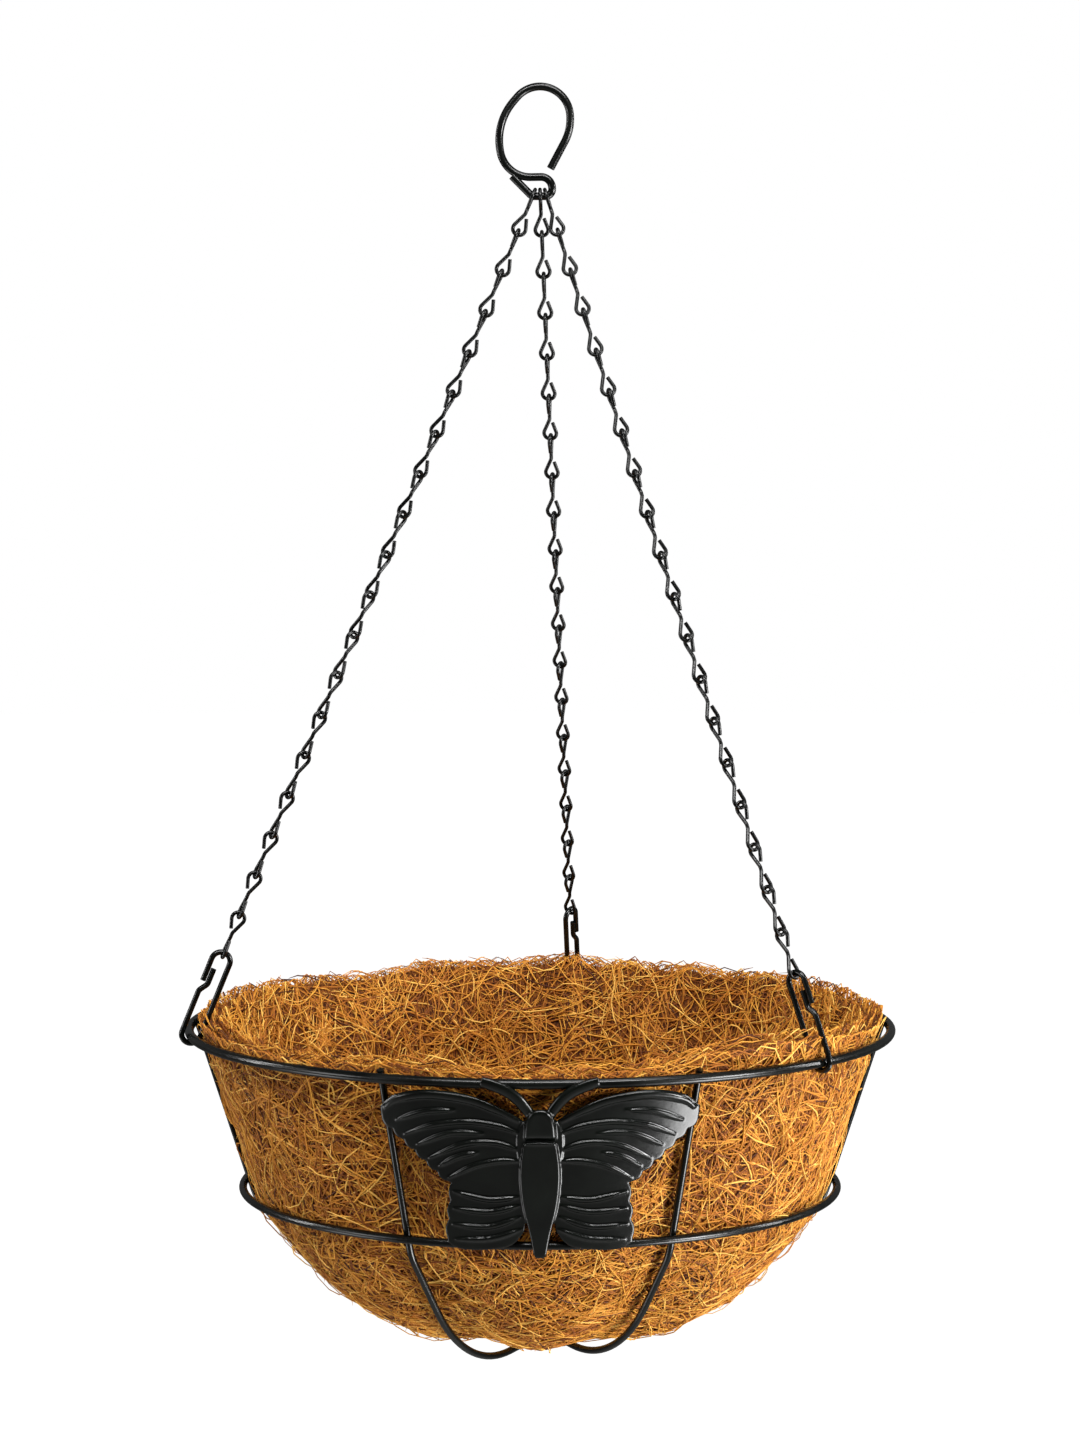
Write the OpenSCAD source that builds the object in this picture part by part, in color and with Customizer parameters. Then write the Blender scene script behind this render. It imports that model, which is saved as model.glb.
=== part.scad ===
// Wire hanging basket: a hook, three chains with snap clips, a welded wire bowl with a
// butterfly plate, and a moulded coir liner.
// The origin is where the hook rests on its support, and the basket hangs below it.

/* [Basket] */
// Rim diameter between wire centres
rim_d = 300; // [280:5:320]
// Middle ring diameter between wire centres
mid_d = 255; // [240:5:270]
// Drop from the rim to the middle ring
mid_drop = 68; // [60:1:76]
// Drop from the rim to the lowest hoop
bowl_depth = 135; // [128:1:145]
// Half the angle between the two front legs
front_half_angle = 25; // [20:1:30]
// How far the basket's centre stands behind the hook, so that its weight hangs level
basket_back = 15.8; // [0:0.1:25]

/* [Wires] */
// Rim wire
rim_wire = 4; // [3.4:0.1:4.2]
// Middle ring wire
mid_wire = 3.4; // [2.6:0.1:4]
// Hoop wire
hoop_wire = 3; // [2.4:0.1:3.4]
// Hook wire
hook_wire = 3.3; // [2.8:0.1:3.6]
// Clip wire
clip_wire = 2.4; // [2:0.1:2.5]
// Chain link wire
link_wire = 1.6; // [1.4:0.1:1.7]

/* [Chains] */
// Height of the hook's eye over the rim
apex_height = 352; // [330:1:380]
// Directions round the rim of the left, back and right chains, from +X
chain_angles = [191, 84, 319];
// Turn of each clip about its own chain
clip_turns = [0, -30, 0];
// Links in each chain
link_count = 19; // [18:1:20]
// Width of a link's loop between wire centres
loop_w = 5.4; // [5:0.1:5.8]
// Length of a clip between the centres of its two bends
clip_l = 41; // [36:1:44]
// Width of a clip between wire centres
clip_w = 8; // [7.8:0.1:8.6]

/* [Liner] */
// Thickness of the coir felt
liner_t = 8; // [5:0.5:12]
// Height of the liner's edge over the rim's centre
liner_rise = 4; // [2:0.5:6]

/* [Butterfly] */
// Width over the wing tips
wing_span = 125; // [110:1:128]
// Thickness of the plate
plate_t = 1.2; // [1:0.1:1.6]

/* [Hidden] */
$fn = 48;

black = "#1d2420";
coir = "#b9802f";

bite = 0.05;          // how deep two welded wires share metal
gap = 0.1;            // between pieces that only touch
joint_gap = 0.3;      // between pieces that move against each other
lap = 0.1;            // how far a wire's straights reach into its bends
hair = 0.01;          // how much thinner they are there

rim_r = rim_d / 2;
mid_r = mid_d / 2;

// Each row of a wire's path is [straight length, roll, bend radius, bend angle].
// The hook: its lower leg, the flat of its eye, a shoulder, and round the big loop to its tip.
eye_flat = 4.2;       // straight bottom of the eye, where the chains hang
eye_r = 3;            // its bends
eye_leg = 10.5;       // leg from the cut end to the eye
hook_path = [[eye_leg, 180, eye_r, 45], [eye_flat, 0, eye_r, 97], [0.6, 0, 4.6, 84],
    [4.2, 180, 12.7, 80], [0.4, 0, 24.6, 52], [2.3, 0, 12.6, 135], [0.4, 0, 20, 32], [12.5, 0, 0, 0]];
eye_drop = 43.88;     // from the bearing point down to the wire's centre in the eye
rim_z = -eye_drop - apex_height;

// Hoops: a straight wall, a knee under the middle ring, a slope, and a foot onto the flat bottom.
hoop_top_r = rim_r - rim_wire / 2 - hoop_wire / 2 + bite;
hoop_mid_r = mid_r - mid_wire / 2 - hoop_wire / 2 + bite;
wall_angle = atan((hoop_top_r - hoop_mid_r) / mid_drop);
slope_angle = 40;
knee_r = 25;
foot_r = 90;
below_mid = 3;        // how far the wall goes on under the middle ring
top_up = 3;           // how far a hoop's cut ends stand over the rim
knee_top = [hoop_mid_r - below_mid * tan(wall_angle), -mid_drop - below_mid];
knee_end = knee_top - knee_r * [cos(wall_angle) - cos(slope_angle), sin(slope_angle) - sin(wall_angle)];
foot_size = foot_r * [cos(slope_angle), 1 - sin(slope_angle)];
function slope_l(raise) = (bowl_depth - raise + knee_end[1] - foot_size[1]) / cos(slope_angle);
function flat_l(raise) = knee_end[0] - slope_l(raise) * sin(slope_angle) - foot_size[0];

// Chains: a top link's crown lies in the hook's eye, each next crown lies inside the one above,
// and the last one carries the clip's top bend.
top_loop_w = 6.4;     // the top links' upper loops are opened to ring the hook's wire
crown_x = [-2, 0, 2];   // where the three ride along the eye
link_middle = 0.9;    // half of the stretch between a link's two loops
open_by = 6;          // how much less a loop's free side leans, so that it stops beside the other
shank_bend = 2.5;
clip_top_gap = link_wire / 2 + clip_wire / 2 + gap;
clip_low_gap = clip_wire / 2 + rim_wire / 2 + gap;

function unit(v) = v / norm(v);
function around(i) = [cos(chain_angles[i]), sin(chain_angles[i]), 0];
function rim_point(i) = [0, basket_back, rim_z] + rim_r * around(i);
function crown(i) = let (hang = rim_point(i) + [0, 0, eye_drop])
    [crown_x[i], 0, -eye_drop] - (hook_wire / 2 + link_wire / 2 + joint_gap) * unit([0, hang[1], hang[2]]);
function chain_dir(i) = unit(rim_point(i) - crown(i));
function chain_span(i) = norm(rim_point(i) - crown(i)) + clip_low_gap - clip_l + clip_top_gap;
longest_span = max([for (i = [0:2]) chain_span(i)]);
link_l = (longest_span - link_wire - gap) / link_count + link_wire + gap;
function pitch(i) = (chain_span(i) - link_l) / (link_count - 1);

// The frame of something that hangs along u, with its X as near as can be to direction a.
function side_of(u, a) = unit(a - (a * u) * u);
function turn_between(u, a, b) = let (x = side_of(u, a), y = cross(-u, x)) atan2(b * y, b * x);
function half_turn(angle) = angle > 90 ? angle - 180 : angle < -90 ? angle + 180 : angle;
function chain_twist(i) = half_turn(turn_between(chain_dir(i), [0, 1, 0], around(i))) + clip_turns[i];

// A smooth closed or open line through points, with steps points in each stretch.
function spline(p0, p1, p2, p3, t) =
    0.5 * (2 * p1 + (p2 - p0) * t + (2 * p0 - 5 * p1 + 4 * p2 - p3) * t ^ 2
    + (3 * p1 - p0 - 3 * p2 + p3) * t ^ 3);
function smooth(p, steps) = let (last = len(p) - 1)
    concat([for (i = [0:last - 1], s = [0:steps - 1])
        spline(p[max(i - 1, 0)], p[i], p[i + 1], p[min(i + 2, last)], s / steps)], [p[last]]);
function arc(centre, r, from, to, steps) = [for (s = [0:steps])
    let (a = from + (to - from) * s / steps) centre + r * [cos(a), sin(a)]];

// A bent wire that starts up +Z. Its straights are a hair thinner and reach into the bends.
module bent_wire(d, rows, i = 0) {
    if (i < len(rows)) {
        row = rows[i];
        if (row[0] > 0)
            translate([0, 0, -lap]) cylinder(h = row[0] + 2 * lap, d = d - 2 * hair);
        translate([0, 0, row[0]]) rotate(row[1]) {
            if (row[3] > 0)
                translate([row[2], 0, 0]) rotate([90, 0, 180])
                    rotate_extrude(angle = row[3]) translate([row[2], 0]) circle(d = d);
            translate([row[2], 0, 0]) rotate([0, row[3], 0]) translate([-row[2], 0, 0])
                bent_wire(d, rows, i + 1);
        }
    }
}

module hang_along(u, a) {
    x = side_of(u, a);
    y = cross(-u, x);
    multmatrix([[x[0], y[0], -u[0], 0], [x[1], y[1], -u[1], 0], [x[2], y[2], -u[2], 0], [0, 0, 0, 1]])
        children();
}

module at_rim(z = 0) {
    translate([0, basket_back, rim_z + z]) children();
}

module hook() {
    start = [-eye_flat / 2, 0] + eye_r * [-sin(45), 1 - cos(45)] + eye_leg * [-sin(45), cos(45)];
    color(black)
        translate([start[0], 0, start[1] - eye_drop]) rotate([0, 135, 0]) bent_wire(hook_wire, hook_path);
}

// Lean of the sides of a loop of width w, and how far the shank runs straight to it.
function lean(w) = asin(w / 2 / (link_l / 2 - w / 2 - link_middle));
function shank(w) = link_l / 2 - w / 2 - w / 2 / sin(lean(w)) - shank_bend * tan(lean(w) / 2);

// From the end of a straight of so much: out along one side of a loop, over its crown and back to
// a free end.
module loop(w, straight) {
    side = w / 2 / tan(lean(w));
    bent_wire(link_wire, [[straight, 0, shank_bend, lean(w)],
        [side - shank_bend * tan(lean(w) / 2), 180, w / 2, 180 + 2 * lean(w) - open_by],
        [side - 1.8, 0, 0, 0]]);
}

// A link hanging from the origin: its upper loop in the XZ plane and its lower one in the YZ plane.
module link(upper_w) {
    low = shank(loop_w);
    translate([0, 0, -link_l / 2]) {
        translate([0, 0, -low]) loop(upper_w, low + shank(upper_w));
        rotate([180, 0, 90]) translate([0, 0, low]) loop(loop_w, 0);
    }
}

// Links first to last of chain i, counted from 1 at the top, each turned a little more.
module links(i, first, last) {
    u = chain_dir(i);
    color(black)
        for (k = [first - 1:last - 1])
            translate(crown(i) + k * pitch(i) * u) hang_along(u, [0, 1, 0])
                rotate(chain_twist(i) * k / (link_count - 1)) link(k == 0 ? top_loop_w : loop_w);
}

// A snap clip: one wire through the last link and round the rim, its ends side by side.
module clip(i) {
    u = chain_dir(i);
    bend = clip_w / 2;
    leg = clip_l - clip_w;
    upper_end = 10;
    step_r = 3;
    step_angle = 35;
    step = clip_wire + gap;
    step_l = (step - 2 * step_r * (1 - cos(step_angle))) / sin(step_angle);
    step_h = step_l * cos(step_angle) + 2 * step_r * sin(step_angle);
    overlap = 6;
    color(black)
        translate(rim_point(i) + (clip_low_gap - bend) * u) hang_along(u, around(i))
            rotate(clip_turns[i]) translate([bend, 0, leg - upper_end])
                bent_wire(clip_wire, [[upper_end, 180, bend, 180], [leg, 0, bend, 180],
                    [leg - upper_end - step_h, 0, step_r, step_angle],
                    [step_l, 180, step_r, step_angle], [overlap, 0, 0, 0]]);
}

module ring(d, wire) {
    rotate_extrude() translate([d / 2, 0]) circle(d = wire);
}

module rim_ring() {
    color(black) at_rim() ring(rim_d, rim_wire);
}

module mid_ring() {
    color(black) at_rim(-mid_drop) ring(mid_d, mid_wire);
}

// A hoop from rim to rim under the bowl, raised to lie on the hoops that it crosses.
module hoop(angle, raise) {
    leg = (mid_drop + below_mid + top_up) / cos(wall_angle);
    start_r = hoop_top_r + top_up * tan(wall_angle);
    slope = slope_l(raise);
    color(black)
        at_rim(top_up) rotate(angle) translate([start_r, 0, 0]) rotate([0, wall_angle - 180, 0])
            bent_wire(hoop_wire, [[leg, 0, knee_r, slope_angle - wall_angle],
                [slope, 0, foot_r, 90 - slope_angle], [2 * flat_l(raise), 0, foot_r, 90 - slope_angle],
                [slope, 0, knee_r, slope_angle - wall_angle], [leg, 0, 0, 0]]);
}

module hoop_front_left() {
    hoop(-90 - front_half_angle, 0);
}

module hoop_front_right() {
    hoop(-90 + front_half_angle, hoop_wire - bite);
}

module hoop_side() {
    hoop(0, 2 * (hoop_wire - bite));
}

// Points along the inside of the highest hoop, inset by so much, from the liner's edge to the axis.
function bowl_line(inset, edge_z) = let (
    raise = 2 * (hoop_wire - bite),
    edge = [hoop_top_r + edge_z * tan(wall_angle) - inset / cos(wall_angle), edge_z],
    knee_c = knee_top - knee_r * [cos(wall_angle), -sin(wall_angle)],
    foot_c = [flat_l(raise), raise - bowl_depth + foot_r])
    concat([edge], arc(knee_c, knee_r - inset, -wall_angle, -slope_angle, 3),
        arc(foot_c, foot_r - inset, -slope_angle, -90, 6), [[0, raise - bowl_depth + inset]]);

function backwards(p) = [for (i = [len(p) - 1:-1:0]) p[i]];

module coir_liner() {
    clear = hoop_wire / 2 + gap;
    notch_l = 10;
    notch_h = 20;
    color(coir)
        at_rim() difference() {
            rotate_extrude()
                polygon(concat(bowl_line(clear, liner_rise), backwards(bowl_line(clear + liner_t, liner_rise))));
            for (i = [0:2])
                let (notch_w = clip_wire + 2 + clip_w * abs(sin(clip_turns[i])))
                    rotate(chain_angles[i]) translate([rim_r - clip_w / 2 - clip_wire - 4, -notch_w / 2, -5])
                        cube([notch_l, notch_w, notch_h]);
        }
}

// Butterfly, in the front of the bowl: X across, Y up from the rim's centre.
half_span = wing_span / 2;
fore_wing = concat(smooth([[5, -17], [8, -13.5], [17, -8.5], [28, -4.2], [44, -2.8],
    [half_span - 6, -5.5], [half_span, -11]], 4), scallops([half_span - 0.5, -16], [36, -41], 6), [[5, -41]]);
hind_wing = concat(scallops([34.5, -41], [36.5, -65], 3),
    smooth([[36.5, -67], [31, -69.6], [20, -69.4], [11, -67.2], [6, -61]], 3), [[5, -40]]);

// Shallow lobes along the line from a to b.
function scallops(a, b, count) = let (out = unit([b[1] - a[1], a[0] - b[0]]), steps = 5)
    [for (k = [0:count * steps]) a + (b - a) * k / (count * steps) - 1.1 * abs(sin(180 * k / steps)) * out];

fore_veins = [[[6, -21], [15, -17.2], [28, -15.5], [42, -17.5], [53, -22]],
    [[7, -27.5], [17, -24], [30, -25], [43.5, -31.5]],
    [[7.5, -31.5], [16, -31.5], [26, -34], [36, -39.5]],
    [[22, -20.2], [35, -20.5], [48, -26]],
    [[24, -28.2], [32, -30.2], [39.5, -34.6]],
    [[33, -10.8], [45, -12], [56, -16.2]]];
hind_veins = [[[8, -46.5], [20, -48], [34, -45]], [[8, -50.2], [20, -53.2], [34, -52.2]],
    [[7.5, -55], [20, -59.5], [34.5, -59]], [[7, -60.2], [19, -64.5], [33.5, -65.5]]];

plate_top_r = rim_r + rim_wire / 2 - bite;
plate_taper = (plate_top_r - mid_r - mid_wire / 2 + bite) / mid_drop;

// What of the children, drawn flat, lies in a skin of thickness t round the front of the bowl.
module front_skin(t) {
    low = -90;
    high = 10;
    intersection() {
        difference() {
            translate([0, 0, low])
                cylinder(h = high - low, r1 = plate_top_r + t + low * plate_taper,
                    r2 = plate_top_r + t + high * plate_taper, $fn = 96);
            translate([0, 0, low - 1])
                cylinder(h = high - low + 2, r1 = plate_top_r + (low - 1) * plate_taper,
                    r2 = plate_top_r + (high + 1) * plate_taper, $fn = 96);
        }
        rotate([90, 0, 0]) linear_extrude(rim_r + 10) children();
    }
}

module stroke(points, width) {
    n = len(points) - 1;
    function side(i) = let (d = unit(points[min(i + 1, n)] - points[max(i - 1, 0)])) [-d[1], d[0]];
    function half(i) = width / 2 * (0.35 + 0.65 * sin(180 * min(max(i / n, 0.02), 0.98)));
    polygon(concat([for (i = [0:n]) points[i] + half(i) * side(i)],
        [for (i = [n:-1:0]) points[i] - half(i) * side(i)]));
}

module mirrored() {
    children();
    mirror([1, 0]) children();
}

module butterfly() {
    vein_w = 1.3;
    antenna = smooth([[2.5, -14], [8, -6.5], [13, -2.5], [19, 0]], 3);
    body = smooth([[5.6, -24], [7.6, -36], [6.4, -54], [1.6, -72.5]], 4);
    color(black)
        at_rim() {
            front_skin(plate_t) {
                mirrored() {
                    polygon(fore_wing);
                    polygon(hind_wing);
                }
                translate([-6.5, -64]) square([13, 45]);
            }
            front_skin(plate_t + 0.8)
                mirrored() {
                    for (vein = concat(fore_veins, hind_veins))
                        stroke(smooth(vein, 3), vein_w);
                    stroke(smooth([[8, -15], [17, -10.2], [28, -6], [44, -4.6], [half_span - 6, -7.4]], 3), 3);
                    stroke(concat(antenna, [[23, 1.2]]), 4.6);
                }
            front_skin(plate_t + 2.2)
                polygon(concat(arc([0, -16.5], 6.3, 210, -30, 12), body,
                    backwards([for (p = body) [-p[0], p[1]]])));
        }
}

hook();
rim_ring();
mid_ring();
hoop_front_left();
hoop_front_right();
hoop_side();
butterfly();
coir_liner();
clip(0);  // clip_left
clip(1);  // clip_back
clip(2);  // clip_right
links(0, 1, 1);  // left_link_1
links(0, 2, 4);  // left_links_2_4
links(0, 5, 7);  // left_links_5_7
links(0, 8, 10);  // left_links_8_10
links(0, 11, 13);  // left_links_11_13
links(0, 14, 16);  // left_links_14_16
links(0, 17, link_count);  // left_links_17_19
links(1, 1, 1);  // back_link_1
links(1, 2, 4);  // back_links_2_4
links(1, 5, 7);  // back_links_5_7
links(1, 8, 10);  // back_links_8_10
links(1, 11, 13);  // back_links_11_13
links(1, 14, 16);  // back_links_14_16
links(1, 17, link_count);  // back_links_17_19
links(2, 1, 1);  // right_link_1
links(2, 2, 4);  // right_links_2_4
links(2, 5, 7);  // right_links_5_7
links(2, 8, 10);  // right_links_8_10
links(2, 11, 13);  // right_links_11_13
links(2, 14, 16);  // right_links_14_16
links(2, 17, link_count);  // right_links_17_19
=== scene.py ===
# Wire hanging basket with a coir liner. The hook, chains, clips and bowl wires come from the packed
# model and get their paint here. The coir felt and the butterfly's pressed relief are made here.

import math
import random
import bpy
import bmesh
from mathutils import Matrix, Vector, noise


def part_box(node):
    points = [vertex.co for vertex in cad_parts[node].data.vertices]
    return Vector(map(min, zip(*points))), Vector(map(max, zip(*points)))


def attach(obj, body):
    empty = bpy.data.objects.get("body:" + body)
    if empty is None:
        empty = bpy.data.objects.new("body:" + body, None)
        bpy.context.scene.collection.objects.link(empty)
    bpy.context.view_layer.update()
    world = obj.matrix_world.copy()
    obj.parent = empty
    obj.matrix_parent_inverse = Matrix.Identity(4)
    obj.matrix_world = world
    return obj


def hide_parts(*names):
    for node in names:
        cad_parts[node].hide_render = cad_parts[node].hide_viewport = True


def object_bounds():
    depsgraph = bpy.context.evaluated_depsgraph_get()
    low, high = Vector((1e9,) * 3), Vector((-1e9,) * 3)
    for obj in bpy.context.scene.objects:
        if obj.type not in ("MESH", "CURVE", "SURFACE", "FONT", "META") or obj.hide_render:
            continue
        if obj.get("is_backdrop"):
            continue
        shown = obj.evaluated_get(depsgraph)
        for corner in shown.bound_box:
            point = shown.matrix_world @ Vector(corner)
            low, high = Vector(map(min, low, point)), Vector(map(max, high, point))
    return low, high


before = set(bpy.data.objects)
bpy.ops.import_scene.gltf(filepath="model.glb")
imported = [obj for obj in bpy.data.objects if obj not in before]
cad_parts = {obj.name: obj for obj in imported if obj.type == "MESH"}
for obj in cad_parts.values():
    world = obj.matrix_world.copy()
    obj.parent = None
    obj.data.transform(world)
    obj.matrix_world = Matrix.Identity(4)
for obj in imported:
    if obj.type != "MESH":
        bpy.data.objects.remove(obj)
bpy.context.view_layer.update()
scene = bpy.context.scene
mm = 0.001

rimLow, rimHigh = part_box("rim_ring")
rimCentre = (rimLow + rimHigh) / 2
print("basket: frame loaded, rim", round((rimHigh.x - rimLow.x) / mm, 1), "mm over its wire")


# ---- small helpers

def paintColour(hexText, alpha=1.0):
    # sRGB hex to the linear values that sockets want
    parts = [int(hexText[i:i + 2], 16) / 255 for i in (1, 3, 5)]
    linear = [c / 12.92 if c <= 0.04045 else ((c + 0.055) / 1.055) ** 2.4 for c in parts]
    return (*linear, alpha)


def addNode(tree, kind, inputs=None, stops=None, **settings):
    # inputs holds values or the sockets that feed them, stops the places and colours of a ramp
    node = tree.nodes.new(kind)
    for name, value in settings.items():
        setattr(node, name, value)
    for name, value in (inputs or {}).items():
        if isinstance(value, bpy.types.NodeSocket):
            tree.links.new(value, node.inputs[name])
        else:
            node.inputs[name].default_value = value
    for i, (place, colour) in enumerate(stops or []):
        elements = node.color_ramp.elements
        element = elements[i] if i < 2 else elements.new(place)
        element.position = place
        element.color = paintColour(colour)
    return node


def newMaterial(name):
    material = bpy.data.materials.new(name)
    material.use_nodes = True
    material.node_tree.nodes.clear()
    return material, material.node_tree


def newObject(name, data):
    piece = bpy.data.objects.new(name, data)
    scene.collection.objects.link(piece)
    return piece


def evaluatedMesh(piece):
    # the piece's shape with its modifiers in it, as a mesh of its own
    graph = bpy.context.evaluated_depsgraph_get()
    return bpy.data.meshes.new_from_object(piece.evaluated_get(graph))


def smoothLine(points, steps):
    # a curve through the points, with so many pieces in each stretch
    line = []
    last = len(points) - 1
    for i in range(last):
        p0, p1 = Vector(points[max(i - 1, 0)]), Vector(points[i])
        p2, p3 = Vector(points[i + 1]), Vector(points[min(i + 2, last)])
        for k in range(steps):
            t = k / steps
            bend = (2 * p0 - 5 * p1 + 4 * p2 - p3) * t ** 2 + (3 * p1 - p0 - 3 * p2 + p3) * t ** 3
            line.append(0.5 * (2 * p1 + (p2 - p0) * t + bend))
    line.append(Vector(points[last]))
    return line


# ---- paint on the wires

wirePaint = {
    "frame": {"dark": "#020302", "light": "#080a08", "rough": (0.20, 0.30), "peel": 1.4, "bump": 0.08},
    "chain": {"dark": "#020202", "light": "#060706", "rough": (0.24, 0.36), "peel": 0.9, "bump": 0.06},
    "clips": {"dark": "#020302", "light": "#080a09", "rough": (0.14, 0.24), "peel": 1.1, "bump": 0.05},
    "butterfly": {"dark": "#020302", "light": "#060906", "rough": (0.17, 0.26), "peel": 1.8, "bump": 0.08},
}


def powderCoat(name, values):
    # polyester powder coat on steel wire: a dark green-black film with a soft sheen, faint orange
    # peel and slightly duller patches where the powder lay thin
    material, tree = newMaterial(name)
    place = addNode(tree, "ShaderNodeTexCoord").outputs["Object"]
    # patches some 15 mm across
    patch = addNode(tree, "ShaderNodeTexNoise", {"Vector": place, "Scale": 1 / 0.015, "Detail": 4.0})
    tone = addNode(tree, "ShaderNodeValToRGB", {"Fac": patch.outputs["Fac"]},
                   [(0.35, values["dark"]), (0.68, values["light"])])
    low, high = values["rough"]
    dull = addNode(tree, "ShaderNodeMapRange",
                   {"Value": patch.outputs["Fac"], "From Min": 0.3, "From Max": 0.7,
                    "To Min": low, "To Max": high})
    # orange peel, its waves this many millimetres apart
    peel = addNode(tree, "ShaderNodeTexNoise",
                   {"Vector": place, "Scale": 1 / (values["peel"] * mm), "Detail": 2.0})
    bump = addNode(tree, "ShaderNodeBump",
                   {"Height": peel.outputs["Fac"], "Strength": values["bump"], "Distance": 0.3 * mm})
    paint = addNode(tree, "ShaderNodeBsdfPrincipled",
                    {"Base Color": tone.outputs["Color"], "Roughness": dull.outputs["Result"],
                     "Normal": bump.outputs["Normal"], "IOR": 1.5, "Specular IOR Level": 0.36})
    addNode(tree, "ShaderNodeOutputMaterial", {"Surface": paint.outputs["BSDF"]})
    return material


frameCoat = powderCoat("powderCoatedSteelWire", wirePaint["frame"])
chainCoat = powderCoat("dippedPaintChain", wirePaint["chain"])
clipCoat = powderCoat("glossPaintSpringClip", wirePaint["clips"])
butterflyCoat = powderCoat("powderCoatedPressedSteel", wirePaint["butterfly"])

for nodeName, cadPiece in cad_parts.items():
    coat = chainCoat if "link" in nodeName else clipCoat if "clip" in nodeName else frameCoat
    for slot in cadPiece.material_slots:
        slot.material = coat
print("basket: wires painted")


# ---- the felt's shape

# The bowl's wires as the model has them, in millimetres, heights from the rim's centre
bowl = {
    "hoopTop": 146.55,        # radius of the hoops' centre line at the rim
    "hoopMid": 124.35,        # and at the middle ring
    "midDrop": 68,
    "depth": 135,
    "belowMid": 3,            # the wall goes on straight this far under the middle ring
    "kneeRadius": 25,
    "slope": 40,              # degrees, under the knee
    "footRadius": 90,
    "raise": 5.9,             # height of the side hoop over the lowest one
    # degrees round of each hoop, and over how many millimetres the felt comes back out beside it
    "hoops": ((0, 62), (65, 24), (115, 24), (180, 62), (245, 24), (295, 24)),
}

felt = {
    "thickness": 8,
    "clear": 1.6,             # from a hoop's centre line to the felt
    "edge": 4,                # height of the moulded edge at the back
    "bulge": 3.6,             # how far it swells out in the middle of an open panel
    "ringRoom": 2.2,          # and where a ring lies over it
    "press": 2.2,             # how deep a hoop presses in
    "turns": 300,
    "rows": 84,
}


def bowlLine(inset):
    # the moulded wall from its edge down to the axis, as radius and height
    wall = math.atan((bowl["hoopTop"] - bowl["hoopMid"]) / bowl["midDrop"])
    slope = math.radians(bowl["slope"])
    below = bowl["belowMid"]
    kneeTop = Vector((bowl["hoopMid"] - below * math.tan(wall), -bowl["midDrop"] - below))
    knee = bowl["kneeRadius"]
    foot = bowl["footRadius"]
    kneeEnd = kneeTop - knee * Vector((math.cos(wall) - math.cos(slope), math.sin(slope) - math.sin(wall)))
    footSize = foot * Vector((math.cos(slope), 1 - math.sin(slope)))
    slopeLength = (bowl["depth"] - bowl["raise"] + kneeEnd.y - footSize.y) / math.cos(slope)
    flat = kneeEnd.x - slopeLength * math.sin(slope) - footSize.x
    kneeCentre = kneeTop - knee * Vector((math.cos(wall), -math.sin(wall)))
    footCentre = Vector((flat, bowl["raise"] - bowl["depth"] + foot))
    edge = felt["edge"]
    line = [Vector((bowl["hoopTop"] + edge * math.tan(wall) - inset / math.cos(wall), edge))]
    for centre, radius, first, last in ((kneeCentre, knee - inset, wall, slope),
                                        (footCentre, foot - inset, slope, math.pi / 2)):
        for k in range(13):
            a = -(first + (last - first) * k / 12)
            line.append(centre + radius * Vector((math.cos(a), math.sin(a))))
    line.append(Vector((0, bowl["raise"] - bowl["depth"] + inset)))
    return line


def evenLine(line, count):
    # the same line cut into equal steps, each with its outward direction
    lengths = [0]
    for a, b in zip(line, line[1:]):
        lengths.append(lengths[-1] + (b - a).length)
    total = lengths[-1]
    points = []
    k = 0
    for i in range(count + 1):
        want = total * i / count
        while k < len(line) - 2 and lengths[k + 1] < want:
            k += 1
        share = (want - lengths[k]) / (lengths[k + 1] - lengths[k])
        points.append(line[k].lerp(line[k + 1], share))
    rows = []
    for i, p in enumerate(points):
        along = points[min(i + 1, count)] - points[max(i - 1, 0)]
        rows.append((p.x, p.y, -along.y / along.length, along.x / along.length))
    return rows, total


fineSteps = 400
outerRows, outerLength = evenLine(bowlLine(felt["clear"]), fineSteps)
innerRows = evenLine(bowlLine(felt["clear"] + felt["thickness"]), fineSteps)[0]

# Where the felt stands in or out of its mould: degrees round, share of the way down, spread in
# degrees and in share, and millimetres outwards
dents = (
    (52, 0.16, 9, 0.12, 3.5),
    (66, 0.22, 4, 0.16, -3.5),
    (34, 0.12, 6, 0.10, -3.0),
    (20, 0.20, 8, 0.12, 3.0),
    (83, 0.14, 3, 0.14, -3.0),
    (104, 0.24, 10, 0.14, 2.5),
    (126, 0.14, 6, 0.10, -2.5),
    (150, 0.20, 8, 0.16, 3.2),
    (171, 0.12, 6, 0.10, -2.2),
    (-52, 0.04, 13, 0.09, -5.0),
    (-108, 0.06, 10, 0.08, -2.0),
    (-150, 0.20, 10, 0.14, 2.4),
)
# The edge's height round the rim: degrees, spread, millimetres
edgeHumps = (
    (90, 60, 0.2), (88, 5, 0.9), (84, 2.2, 2.6), (123, 7, -3.4),
    (-50, 15, 4.6), (-90, 34, -4.2), (-135, 24, -3.0),
    (140, 12, -1.6), (176, 14, -2.6), (12, 10, -1.8), (-18, 12, -1.0), (112, 9, 0.8), (60, 8, -0.8),
)


def turnBetween(a, b):
    # degrees from b to a, from -180 to 180
    return (a - b + 180) % 360 - 180


def edgeRise(degrees):
    rise = 0
    for at, spread, height in edgeHumps:
        rise += height * math.exp(-(turnBetween(degrees, at) / spread) ** 2)
    a = math.radians(degrees)
    around = Vector((math.cos(a), math.sin(a), 0))
    rise += 1.3 * noise.noise(around * 9)       # waves some 50 mm long
    return rise + 0.7 * noise.noise(around * 31)   # and 15 mm


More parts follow.
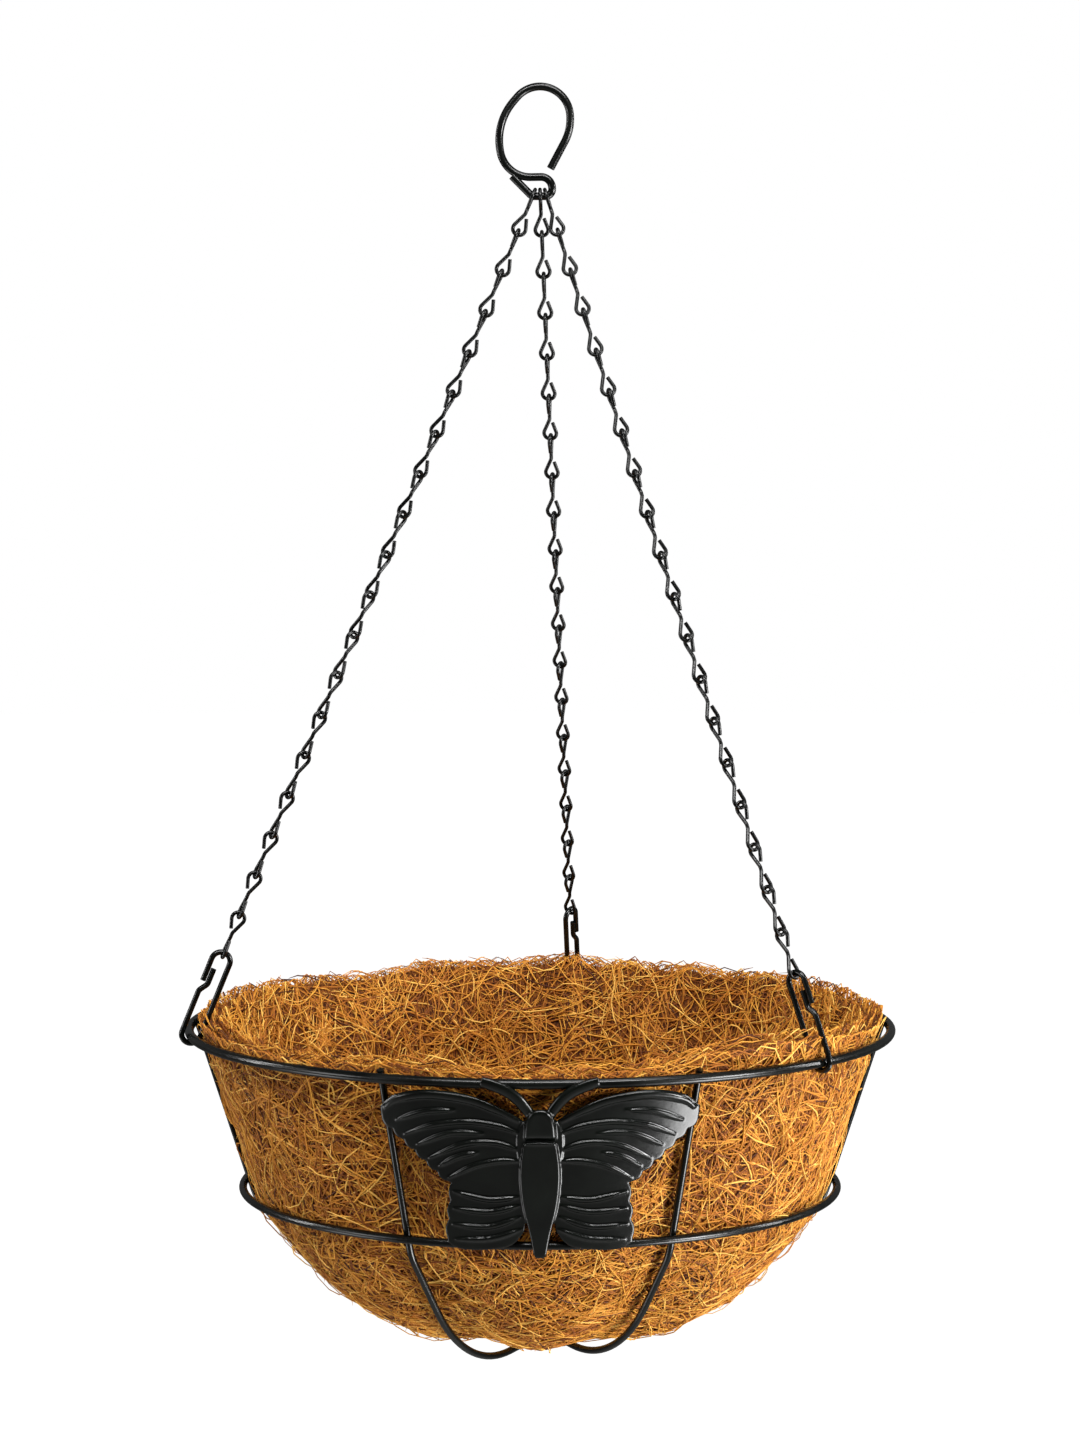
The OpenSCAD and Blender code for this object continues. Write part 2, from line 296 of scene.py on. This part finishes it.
def swell(degrees, row):
    # how far the outer face swells between the wires
    r, z = row[0], row[1]
    openAcross = 1
    for at, spread in bowl["hoops"]:
        fromHoop = math.radians(abs(turnBetween(degrees, at))) * max(r, 1)
        openAcross = min(openAcross, 1 - math.exp(-(fromHoop / spread) ** 2))
    fromRing = min(abs(z), abs(z + bowl["midDrop"]))
    openDown = 1 - math.exp(-(fromRing / 18) ** 2)
    room = felt["ringRoom"] + (felt["bulge"] - felt["ringRoom"]) * openDown
    return -felt["press"] + (room + felt["press"]) * openAcross


def feltPoint(degrees, along, depth, lift=0.0):
    # along runs from 0 at the edge to 1 at the axis, depth from 0 outside to 1 inside, and lift is
    # the height over the face; all lengths in millimetres, the result in metres
    place = min(max(along, 0), 1) * fineSteps
    i = min(int(place), fineSteps - 1)
    outer = [a + (b - a) * (place - i) for a, b in zip(outerRows[i], outerRows[i + 1])]
    inner = [a + (b - a) * (place - i) for a, b in zip(innerRows[i], innerRows[i + 1])]
    r = outer[0] + (inner[0] - outer[0]) * depth
    z = outer[1] + (inner[1] - outer[1]) * depth
    nr, nz = outer[2], outer[3]
    a = math.radians(degrees)
    around = Vector((math.cos(a), math.sin(a), 0))
    lump = noise.noise(Vector((around.x * r, around.y * r, z)) / 24)
    small = noise.noise(Vector((around.x * r, around.y * r, z + 300)) / 9)
    out = swell(degrees, outer)
    outside = out + (1.3 * lump + 0.6 * small) * min(1, max(out + 0.6, 0) / 2)
    inside = 0.45 * out + 2.2 * lump + 1.1 * small
    for at, down, spread, spreadDown, height in dents:
        away = (turnBetween(degrees, at) / spread) ** 2 + ((along - down) / spreadDown) ** 2
        if away < 7:
            inside += height * math.exp(-away)
    push = outside + (inside - outside) * depth
    facing = 1 - 2 * depth
    r += nr * (push + lift * facing)
    z += nz * (push + lift * facing)
    fade = max(0.0, 1 - max(along, 0) / 0.16)
    rise = edgeRise(degrees) * fade * fade
    if along < 0:
        rise -= along * outerLength
    z += rise
    r += rise * 0.3
    if along < 0.02:
        z += 2.2 * math.sin(math.pi * min(max(depth, 0), 1)) * (1 - max(along, 0) / 0.02)
    return rimCentre + Vector((around.x * r, around.y * r, z)) * mm


def needledFelt(name):
    # coconut husk fibre, needled and latex-bonded: a mat of crossing strands, golden where they
    #     # lie on top and dark brown in the gaps between them, the dark in the gaps being painted shade for
    #     the depth of the mat
    material, tree = newMaterial(name)
    place = addNode(tree, "ShaderNodeTexCoord").outputs["Object"]
    strands = None
    for turn in ((0.4, 0.2, 0.7), (1.2, -0.5, 2.1), (-0.6, 0.9, -0.8), (0.9, 1.4, 0.3), (0.1, -1.0, 1.5)):
        # each set of strands is about 0.9 mm thick and 16 mm long
        lay = addNode(tree, "ShaderNodeMapping",
                      {"Vector": place, "Rotation": turn, "Scale": (1 / 0.9, 1 / 0.9, 1 / 16)})
        grain = addNode(tree, "ShaderNodeTexNoise",
                        {"Vector": lay.outputs["Vector"], "Scale": 1 / mm, "Detail": 2.0, "Roughness": 0.6})
        if strands is None:
            strands = grain.outputs["Fac"]
        else:
            strands = addNode(tree, "ShaderNodeMath", {0: strands, 1: grain.outputs["Fac"]},
                              operation="MAXIMUM").outputs["Value"]
    # from near-black brown in the gaps, painted shade, to gold on the strands on top
    tone = addNode(tree, "ShaderNodeValToRGB", {"Fac": strands},
                   [(0.50, "#2b1104"), (0.86, "#c0842f"), (0.58, "#592b0a"), (0.70, "#985c1a")])
    # wet-looking and dry patches some 40 mm across
    patch = addNode(tree, "ShaderNodeTexNoise", {"Vector": place, "Scale": 1 / 0.04, "Detail": 3.0})
    shade = addNode(tree, "ShaderNodeMapRange",
                    {"Value": patch.outputs["Fac"], "From Min": 0.3, "From Max": 0.7,
                     "To Min": 0.75, "To Max": 1.1})
    worn = addNode(tree, "ShaderNodeVectorMath",
                   {0: tone.outputs["Color"], "Scale": shade.outputs["Result"]}, operation="SCALE")
    bump = addNode(tree, "ShaderNodeBump", {"Height": strands, "Strength": 0.9, "Distance": 0.8 * mm})
    fibre = addNode(tree, "ShaderNodeBsdfPrincipled",
                    {"Base Color": worn.outputs["Vector"], "Roughness": 0.85,
                     "Normal": bump.outputs["Normal"], "IOR": 1.45, "Specular IOR Level": 0.25})
    addNode(tree, "ShaderNodeOutputMaterial", {"Surface": fibre.outputs["BSDF"]})
    return material


def makeFelt():
    # the section is spun once round, then every vertex is moved to where the felt really lies
    steps = [(i / felt["rows"], 0) for i in range(felt["rows"] + 1)]
    inside = [(i / felt["rows"], 1) for i in range(felt["rows"] + 1)]
    edge = [(0, 0.8), (0, 0.6), (0, 0.4), (0, 0.2)]
    section = steps + inside[::-1] + edge
    shape = bmesh.new()
    profile = []
    known = {}
    for along, depth in section:
        k = round(along * fineSteps)
        outer, inner = outerRows[k], innerRows[k]
        r = outer[0] + (inner[0] - outer[0]) * depth
        z = outer[1] + (inner[1] - outer[1]) * depth
        known[(round(r, 2), round(z, 2))] = (along, depth)
        profile.append(shape.verts.new((r, 0, z)))
    edges = []
    for a, b in zip(profile, profile[1:] + profile[:1]):
        if a.co.x + b.co.x > 0.01:
            edges.append(shape.edges.new((a, b)))
    bmesh.ops.spin(shape, geom=profile + edges, cent=(0, 0, 0), axis=(0, 0, 1), angle=math.tau,
                   steps=felt["turns"], use_merge=True)
    bmesh.ops.remove_doubles(shape, verts=shape.verts, dist=0.01)
    bmesh.ops.recalc_face_normals(shape, faces=shape.faces)
    places = list(known)
    for vertex in shape.verts:
        r, z = math.hypot(vertex.co.x, vertex.co.y), vertex.co.z
        key = (round(r, 2), round(z, 2))
        if key not in known:
            key = min(places, key=lambda p: (p[0] - r) ** 2 + (p[1] - z) ** 2)
        along, depth = known[key]
        vertex.co = feltPoint(math.degrees(math.atan2(vertex.co.y, vertex.co.x)), along, depth)
    mesh = bpy.data.meshes.new("coir_felt")
    shape.to_mesh(mesh)
    shape.free()
    mesh.shade_smooth()
    mesh.materials.append(needledFelt("needledCoirFelt"))
    piece = newObject("coir_felt", mesh)
    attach(piece, "basket")
    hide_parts("coir_liner")
    return piece


coirFelt = makeFelt()
print("basket: felt moulded,", len(coirFelt.data.polygons), "faces")


# ---- the felt's strands

# Dry coir is 0.1 to 0.3 mm thick; here a strand is 0.4 to 0.75 mm so that it shows
strandLook = {
    "thick": 0.29,            # radius of an average strand, in millimetres
    "points": 5,
    "tones": ("#4a2006", "#7c410e", "#a8641b", "#c37f28", "#d69736", "#ebb757"),
    "perPiece": 5400,         # keeps a piece under 200,000 triangles
}


def strandTones():
    # husk fibre in six plain tones from dark brown to pale gold, one each; the darker go to strands deep in
    # the mat as painted shade, the paler to strands on top and standing off it as painted light, with a
    # random spread besides
    tones = []
    for i, colour in enumerate(strandLook["tones"]):
        material, tree = newMaterial("coirStrand" + str(i + 1))
        fibre = addNode(tree, "ShaderNodeBsdfPrincipled",
                        {"Base Color": paintColour(colour), "Roughness": 0.62, "IOR": 1.45,
                         "Specular IOR Level": 0.35})
        addNode(tree, "ShaderNodeOutputMaterial", {"Surface": fibre.outputs["BSDF"]})
        tones.append(material)
    return tones


strandMaterials = strandTones()


def layStrand(chance, degrees, along, depth, length, wander, low, high, heading=None):
    # one strand, laid over the face from a starting place; low and high are its heights in mm
    count = strandLook["points"]
    step = length / (count - 1)
    turn = chance.uniform(0, math.tau) if heading is None else heading
    curl = chance.gauss(0, wander)
    points = []
    for i in range(count):
        share = i / (count - 1)
        lift = low + (high - low) * math.sin(math.pi * share) ** 0.8
        points.append(feltPoint(degrees, along, depth, lift))
        turn += curl + chance.gauss(0, wander * 0.6)
        k = min(int(min(max(along, 0), 1) * fineSteps), fineSteps)
        radius = max(outerRows[k][0], 6)
        degrees += math.degrees(step * math.cos(turn) / radius)
        along += step * math.sin(turn) / outerLength
        if along > 0.985:
            along = 1.97 - along
            turn = -turn
        if along < -0.02:
            along = -0.02
            turn = -turn
    return points


def strandPiece(name, strands):
    curve = bpy.data.curves.new(name, "CURVE")
    curve.dimensions = "3D"
    curve.bevel_depth = mm
    curve.bevel_resolution = 0
    for material in strandMaterials:
        curve.materials.append(material)
    for points, tone, thick in strands:
        spline = curve.splines.new("POLY")
        spline.points.add(len(points) - 1)
        flat = []
        for point in points:
            flat.extend((point.x, point.y, point.z, 1))
        spline.points.foreach_set("co", flat)
        last = len(points) - 1
        widths = [thick * (0.45 if i in (0, last) else 1) for i in range(last + 1)]
        spline.points.foreach_set("radius", widths)
        spline.material_index = tone
    piece = newObject(name, curve)
    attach(piece, "basket")
    return piece


def pickStart(chance, lowest, highest):
    # a place on the bowl, as likely anywhere on its face
    while True:
        along = chance.uniform(lowest, highest)
        if chance.random() < outerRows[int(along * fineSteps)][0] / 150:
            return chance.uniform(-180, 180), along


def strandToneWithDepthShade(chance, level):
    # deeper strands are darker: painted shade for the depth of the mat, over a random spread of tones
    tone = chance.gauss(1.5 + 2.0 * level, 1.15)
    return min(max(round(tone), 0), 5)


# name, seed, share of the way down from and to, depth, how many, lowest and highest over the face
mats = (
    ("coir_mat_outside", 11, 0.0, 0.98, 0, 19500, 0.0, 0.8),
    ("coir_mat_inside", 23, 0.0, 0.98, 1, 13500, 0.0, 1.1),
)


def layMats():
    made = []
    for name, seed, lowest, highest, depth, count, low, high in mats:
        chance = random.Random(seed)
        strands = []
        for n in range(count):
            degrees, along = pickStart(chance, lowest, highest)
            level = n / count
            base = low + (high - low) * 0.5 * level
            top = base + chance.uniform(0.1, 0.7)
            length = chance.uniform(11, 34)
            thick = strandLook["thick"] * chance.uniform(0.65, 1.3)
            points = layStrand(chance, degrees, along, depth, length, 0.2, base, top)
            strands.append((points, strandToneWithDepthShade(chance, level), thick))
        parts = math.ceil(count / strandLook["perPiece"])
        for k in range(parts):
            made.append(strandPiece(f"{name}_{k + 1}", strands[k::parts]))
    return made


def layEdge():
    # strands that cross the moulded edge, and short ends that stand out of it
    chance = random.Random(37)
    strands = []
    for n in range(1500):
        degrees = chance.uniform(-180, 180)
        depth = chance.choice((0, 0.3, 0.6, 1))
        length = chance.uniform(10, 30)
        heading = chance.choice((0, math.pi)) + chance.gauss(0, 0.35)
        points = layStrand(chance, degrees, chance.uniform(-0.004, 0.012), depth, length, 0.18,
                           0.1, chance.uniform(0.3, 1.2), heading)
        tone = strandToneWithDepthShade(chance, chance.random())
        strands.append((points, tone, strandLook["thick"] * chance.uniform(0.6, 1.1)))
    for n in range(500):
        degrees = chance.uniform(-180, 180)
        start = feltPoint(degrees, chance.uniform(0, 0.01), chance.random(), -0.5)
        a = math.radians(degrees) + chance.gauss(0, 1.2)
        lean = Vector((math.cos(a), math.sin(a), chance.uniform(0.2, 1.4))).normalized()
        length = chance.uniform(1.2, 3.4) * mm
        middle = start + lean * length * 0.6
        points = [start, middle, start + lean * length + Vector((0, 0, -0.2 * length))]
        strands.append((points, strandToneWithDepthShade(chance, chance.random()), strandLook["thick"] * 0.6))
    return strandPiece("coir_edge", strands)


def layLoose():
    # springy ends that stand off both faces, long bright ones over the front left, and a tuft
    chance = random.Random(41)
    strands = []
    for n in range(1500):
        degrees, along = pickStart(chance, 0.0, 0.97)
        depth = 0 if n % 2 else 1
        points = layStrand(chance, degrees, along, depth, chance.uniform(14, 40), 0.3,
                           0.2, chance.uniform(1.5, 3.2))
        # strands standing off the face take the paler tones: painted light for strands clear of the mat's
        # shade
        tone = chance.choice((3, 4, 4, 5))
        strands.append((points, tone, strandLook["thick"] * chance.uniform(0.6, 0.95)))
    for n in range(420):
        degrees, along = pickStart(chance, 0.0, 0.97)
        start = feltPoint(degrees, along, 0, 0)
        tip = feltPoint(degrees + chance.gauss(0, 1.6), along + chance.gauss(0, 0.012), 0,
                        chance.uniform(1.2, 2.8))
        middle = start.lerp(tip, 0.5) + Vector((0, 0, chance.uniform(0, 0.7) * mm))
        strands.append(([start, middle, tip], strandToneWithDepthShade(chance, 0.9), strandLook["thick"] * 0.55))
    for n in range(46):
        degrees = chance.uniform(-128, -92)
        along = chance.uniform(0.0, 0.12)
        height = chance.uniform(3, 11)
        points = layStrand(chance, degrees, along, 1, chance.uniform(30, 62), 0.22, 0.3, height,
                           chance.choice((0.4, 2.7)) + chance.gauss(0, 0.5))
        # paler tones again, painted light for strands lifted clear of the mat
        strands.append((points, chance.choice((4, 5, 5)), strandLook["thick"] * chance.uniform(0.7, 1.0)))
    for n in range(60):
        # the tuft pulled up beside the back clip
        degrees = 85 + chance.gauss(0, 1.5)
        foot = feltPoint(degrees, 0.01, chance.uniform(0.1, 0.9), -0.5)
        rise = Vector((chance.gauss(0, 0.35), chance.gauss(0, 0.25), 1)).normalized()
        rise *= chance.uniform(3, 8) * mm
        points = [foot, foot + rise * 0.6, foot + rise + Vector((chance.gauss(0, 0.8), 0, 0)) * mm]
        strands.append((points, strandToneWithDepthShade(chance, 0.8), strandLook["thick"] * 0.8))
    return strandPiece("coir_loose", strands)


coirPieces = layMats() + [layEdge(), layLoose()]
print("basket: strands laid in", len(coirPieces), "pieces")


# ---- butterfly

# Flat drawing in millimetres: across, and up from the rim's centre; the right half only
butterflyShape = {
    "plate": 1.3,
    "grain": 0.40,            # size of the cells that the relief is fused in
    "rimOut": 151.95,         # where the plate's back lies against the rim
    "taper": 0.3329,          # and how fast it closes in below, per millimetre
    "foreTop": ((5, -17), (8, -13.5), (17, -8.5), (28, -4.2), (44, -2.8), (56.5, -5.5), (62.5, -11)),
    "foreEdge": ((62, -16), (36, -41), 6),
    "hindEdge": ((34.5, -41), (36.5, -65), 3),
    "hindLow": ((36.5, -67), (31, -69.6), (20, -69.4), (11, -67.2), (6, -61)),
    "body": ((6.4, -24.2), (7.3, -30), (7.8, -37), (7.4, -45), (6.4, -52), (5.0, -58), (3.9, -63),
             (3.1, -67.5), (2.6, -70.6), (1.6, -72.4)),
    "head": ((0, -9.6), (3.0, -10.3), (5.0, -12.8), (6.0, -16.5), (6.4, -22.0)),
    "shoulder": ((0, -12.6), (4.5, -13.2), (7.4, -16.2), (9.0, -20.5), (9.2, -25.5), (8.6, -31)),
    "bar": ((-5.8, -24.0), (0, -23.8), (5.8, -24.0)),
    "border": ((8, -15), (17, -10.2), (28, -6.2), (44, -4.8), (56, -7.4), (60.5, -11.4)),
    "antenna": ((2.5, -14), (8, -6.5), (13, -2.5), (19, 0), (23, 1.2)),
    "veins": (
        ((6, -21), (15, -17.2), (28, -15.5), (42, -17.5), (53, -22)),
        ((7, -27.5), (17, -24), (30, -25), (43.5, -31.5)),
        ((7.5, -31.5), (16, -31.5), (26, -34), (36, -39.5)),
        ((22, -20.2), (35, -20.5), (48, -26)),
        ((24, -28.2), (32, -30.2), (39.5, -34.6)),
        ((33, -10.8), (45, -12), (56, -16.2)),
        ((8, -46.5), (20, -48), (34, -45)),
        ((8, -50.2), (20, -53.2), (34, -52.2)),
        ((7.5, -55), (20, -59.5), (34.5, -59)),
        ((7, -60.2), (19, -64.5), (33.5, -65.5)),
    ),
}


def lobes(start, end, count):
    # a margin of shallow lobes from start to end
    a, b = Vector(start), Vector(end)
    out = Vector((b.y - a.y, a.x - b.x)).normalized()
    total = count * 6
    return [a + (b - a) * k / total - out * 1.1 * abs(math.sin(math.pi * k / 6)) for k in range(total + 1)]


def pressedPlate(into, outline, low, high, edge, side=1):
    # a flat plate with a rounded edge, from one height to the other
    curve = bpy.data.curves.new("plate", "CURVE")
    curve.dimensions = "2D"
    curve.fill_mode = "BOTH"
    curve.extrude = ((high - low) / 2 - edge) * mm
    curve.bevel_depth = edge * mm
    curve.bevel_resolution = 3
    curve.offset = -edge * mm
    spline = curve.splines.new("POLY")
    spline.points.add(len(outline) - 1)
    for point, target in zip(outline, spline.points):
        target.co = (point[0] * side * mm, point[1] * mm, 0, 1)
    spline.use_cyclic_u = True
    piece = newObject("plate", curve)
    mesh = evaluatedMesh(piece)
    for vertex in mesh.vertices:
        vertex.co.z += (low + high) / 2 * mm
    into.from_mesh(mesh)
    bpy.data.objects.remove(piece)


def pressedRidge(into, line, radius, height, side=1, flat=0.8, tips=0.3):
    # a raised line that thins out at both ends, half sunk at this height
    curve = bpy.data.curves.new("ridge", "CURVE")
    curve.dimensions = "3D"
    curve.bevel_depth = mm
    curve.bevel_resolution = 3
    curve.use_fill_caps = True
    spline = curve.splines.new("POLY")
    spline.points.add(len(line) - 1)
    last = len(line) - 1
    for i, (point, target) in enumerate(zip(line, spline.points)):
        target.co = (point[0] * side * mm, point[1] * mm, 0, 1)
        target.radius = radius * (tips + (1 - tips) * min(1, 4 * min(i, last - i) / last))
    piece = newObject("ridge", curve)
    mesh = evaluatedMesh(piece)
    for vertex in mesh.vertices:
        vertex.co.z = vertex.co.z * flat + height * mm
    into.from_mesh(mesh)
    bpy.data.objects.remove(piece)


def makeButterfly():
    b = butterflyShape
    flat = bmesh.new()
    top = b["plate"]
    fore = smoothLine(b["foreTop"], 5) + lobes(*b["foreEdge"]) + [Vector((30, -43)), Vector((4, -43))]
    hind = lobes(*b["hindEdge"]) + smoothLine(b["hindLow"], 4) + [Vector((5, -40))]
    body = smoothLine(b["body"], 3)
    head = smoothLine(b["head"], 4)
    shoulder = smoothLine(b["shoulder"], 4)
    for side in (1, -1):
        pressedPlate(flat, fore, 0, top, 0.4, side)
        pressedPlate(flat, hind, 0, top, 0.4, side)
        for vein in b["veins"]:
            pressedRidge(flat, smoothLine(vein, 5), 1.0, top + 0.1, side, 1.0)
        pressedRidge(flat, smoothLine(b["border"], 5), 1.8, top - 0.2, side, 0.8, 0.45)
        pressedRidge(flat, smoothLine(b["antenna"], 5), 2.5, top * 0.5, side, 0.8, 0.85)
    for outline, high, edge in ((shoulder, 2.0, 0.7), (head, 3.9, 1.8), (body, 3.4, 0.8)):
        whole = outline + [Vector((-p[0], p[1])) for p in outline[::-1] if p[0] > 0.01]
        pressedPlate(flat, whole, 0, high, edge)
    pressedRidge(flat, b["bar"], 0.8, 3.1, 1, 1.0, 0.7)
    mesh = bpy.data.meshes.new("butterfly_relief")
    flat.to_mesh(mesh)
    flat.free()
    rough = newObject("rough", mesh)
    fuse = rough.modifiers.new("fuse", "REMESH")
    fuse.mode = "VOXEL"
    fuse.voxel_size = b["grain"] * mm
    soften = rough.modifiers.new("soften", "SMOOTH")
    soften.factor = 0.5
    soften.iterations = 2
    mesh = evaluatedMesh(rough)
    bpy.data.objects.remove(rough)
    mesh.name = "butterfly_relief"
    for vertex in mesh.vertices:
        # rolled to the cone of the bowl's front
        across, up, height = vertex.co / mm
        radius = b["rimOut"] + up * b["taper"] + height
        back = -math.sqrt(radius ** 2 - across ** 2)
        vertex.co = rimCentre + Vector((across, back, up)) * mm
    mesh.shade_smooth()
    mesh.materials.clear()
    mesh.materials.append(butterflyCoat)
    piece = newObject("butterfly_relief", mesh)
    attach(piece, "basket")
    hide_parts("butterfly")
    return piece


butterfly = makeButterfly()
print("basket: butterfly pressed,", len(butterfly.data.polygons), "faces")


# ---- floor, light and camera

studio = {
    "floorDrop": 2.7,         # the floor lies this far under the hook
    "floorRadius": 40,
    "floorColour": "#acacaa",
    "backdrop": 1.0,          # brightness behind the object
    "ambient": 0.10,          # soft light from all round
    # name, place, size across and up, watts, all aimed at the bowl
    "lamps": (
        ("keyRight", (2.2, -1.3, -0.30), 0.6, 0.6, 60),
        ("frontTop", (0.1, -1.3, 1.3), 2.2, 0.25, 62),
        ("fillLeft", (-2.1, -0.9, -0.2), 0.7, 0.7, 10),
        ("topSoft", (0.5, -0.3, 1.9), 1.0, 0.8, 14),
        ("stripLeft", (-1.7, 0.25, -0.1), 0.08, 1.3, 12),
        ("stripRight", (1.7, 0.15, -0.1), 0.08, 1.3, 16),
        ("lowRight", (1.5, -0.7, -1.8), 0.8, 0.8, 44),
        ("lowLeft", (-1.7, -0.2, -1.7), 0.7, 0.7, 8),
    ),
}


def makeStudio():
    shape = bmesh.new()
    bmesh.ops.create_circle(shape, cap_ends=True, segments=96, radius=studio["floorRadius"])
    bmesh.ops.translate(shape, verts=shape.verts, vec=(0, 0, -studio["floorDrop"]))
    mesh = bpy.data.meshes.new("floor")
    shape.to_mesh(mesh)
    shape.free()
    floor = newObject("floor", mesh)
    material, tree = newMaterial("paleFloor")
    seen = addNode(tree, "ShaderNodeLightPath").outputs["Is Camera Ray"]
    matt = addNode(tree, "ShaderNodeBsdfPrincipled",
                   {"Base Color": paintColour(studio["floorColour"]), "Roughness": 0.9,
                    "Emission Color": (1, 1, 1, 1), "Emission Strength": seen})
    addNode(tree, "ShaderNodeOutputMaterial", {"Surface": matt.outputs["BSDF"]})
    mesh.materials.append(material)
    floor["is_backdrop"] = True

    world = bpy.data.worlds.new("studio")
    world.use_nodes = True
    tree = world.node_tree
    tree.nodes.clear()
    seen = addNode(tree, "ShaderNodeLightPath").outputs["Is Camera Ray"]
    level = addNode(tree, "ShaderNodeMapRange",
                    {"Value": seen, "To Min": studio["ambient"], "To Max": studio["backdrop"]})
    glow = addNode(tree, "ShaderNodeBackground",
                   {"Color": (1, 1, 1, 1), "Strength": level.outputs["Result"]})
    addNode(tree, "ShaderNodeOutputWorld", {"Surface": glow.outputs["Background"]})
    scene.world = world

    for name, place, across, up, watts in studio["lamps"]:
        lamp = bpy.data.lights.new(name, "AREA")
        lamp.shape = "RECTANGLE"
        lamp.size = across
        lamp.size_y = up
        lamp.energy = watts
        holder = newObject(name, lamp)
        holder.location = place
        aim = rimCentre + Vector((0, 0, -0.06)) - Vector(place)
        holder.rotation_euler = aim.to_track_quat("-Z", "Y").to_euler()


def makeCamera():
    # eye height a little over the rim, about a metre and a half away
    low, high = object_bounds()
    middle = (low + high) / 2
    lens = bpy.data.cameras.new("camera")
    lens.lens = 85
    eye = newObject("camera", lens)
    eye.location = (0, rimCentre.y - 1.45, rimCentre.z + 0.223)
    aim = Vector((0, middle.y, middle.z)) - eye.location
    eye.rotation_euler = aim.to_track_quat("-Z", "Y").to_euler()
    scene.camera = eye


makeStudio()
makeCamera()
scene.view_settings.view_transform = "Standard"
print("basket: studio ready")
